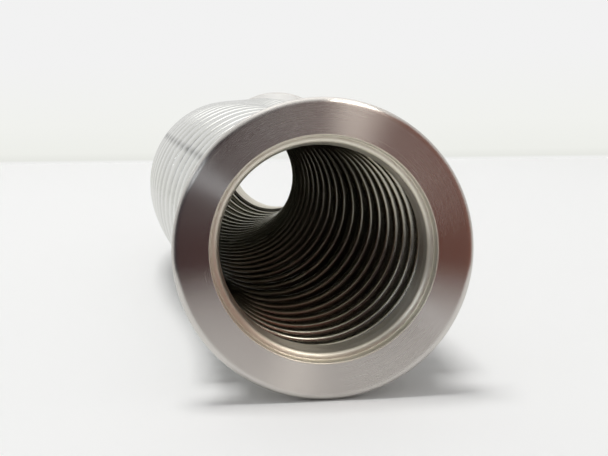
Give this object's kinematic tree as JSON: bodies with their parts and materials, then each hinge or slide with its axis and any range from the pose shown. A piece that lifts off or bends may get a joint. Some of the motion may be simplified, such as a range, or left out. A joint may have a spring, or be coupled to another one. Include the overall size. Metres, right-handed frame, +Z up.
{
  "type": "vacuum bellows hose",
  "caption": "Flexible metal vacuum hose lying in a gentle double bend: a thin-walled bellows tube welded between two turned clamp flanges with centring recesses.",
  "frame": {"origin": "middle of the bounding box on the floor plane, below the hose's middle", "axes": "+Z up, +Y along the hose's chord from the front flange to the rear flange, +X to the right seen from the front flange"},
  "size_m": [0.0715, 0.2572, 0.055],
  "materials": {
    "formed_sheet": "bright formed stainless sheet",
    "turned_steel": "fine turned stainless steel",
    "weld": "plain weld bead"
  },
  "bodies": {
    "root": {"bellows": "formed_sheet", "flange_front": "turned_steel", "flange_rear": "turned_steel", "weld_bead_front": "weld", "weld_bead_rear": "weld"}
  },
  "joints": []
}
